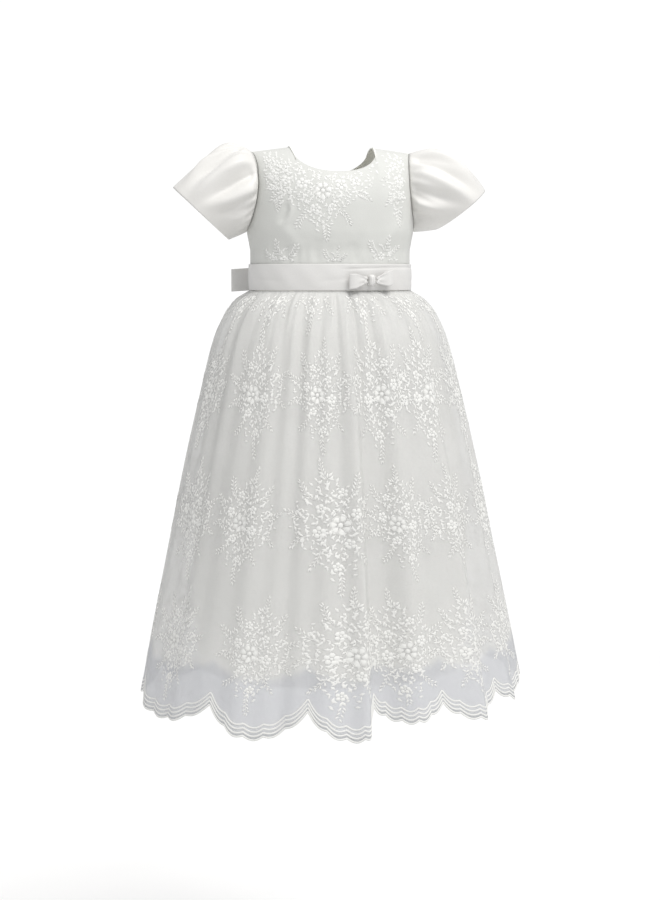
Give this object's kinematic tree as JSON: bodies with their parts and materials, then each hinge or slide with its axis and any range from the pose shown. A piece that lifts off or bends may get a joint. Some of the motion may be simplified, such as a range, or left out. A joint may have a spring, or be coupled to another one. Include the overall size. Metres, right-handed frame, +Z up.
{
  "type": "christening gown",
  "caption": "Baby's white christening gown in its worn form: embroidered net over satin, short puff sleeves, satin sash with bows and a long gathered skirt with a scalloped hem",
  "frame": {"origin": "midway between the two shoulder seams at their height, where the wearer's shoulders carry the gown", "axes": "+Z up along the wearer, -Y the gown's front, +X the wearer's left"},
  "size_m": [0.4011, 0.3591, 0.5842],
  "materials": {
    "satin": "soft white satin, low sheen",
    "sash_satin": "white satin ribbon, soft sheen",
    "bodice_cloth": "embroidered net laid on white satin, matt",
    "embroidered_net": "fine see-through white net with raised white embroidery",
    "lining_satin": "opaque white lining satin, matt"
  },
  "bodies": {
    "root": {"bodice_front": "bodice_cloth", "bodice_back_left": "bodice_cloth", "bodice_back_right": "bodice_cloth", "sleeve_right": "satin", "sleeve_left": "satin", "sash_front": "sash_satin", "sash_back": "sash_satin", "skirt_net_front": "embroidered_net", "skirt_net_back": "embroidered_net", "skirt_lining_front": "lining_satin", "skirt_lining_back": "lining_satin", "front_bow_loop_right": "sash_satin", "front_bow_loop_left": "sash_satin", "front_bow_knot": "sash_satin", "back_bow_loop_right": "sash_satin", "back_bow_loop_left": "sash_satin", "back_bow_knot": "sash_satin", "back_bow_tail_right": "sash_satin", "back_bow_tail_left": "sash_satin"}
  },
  "joints": []
}
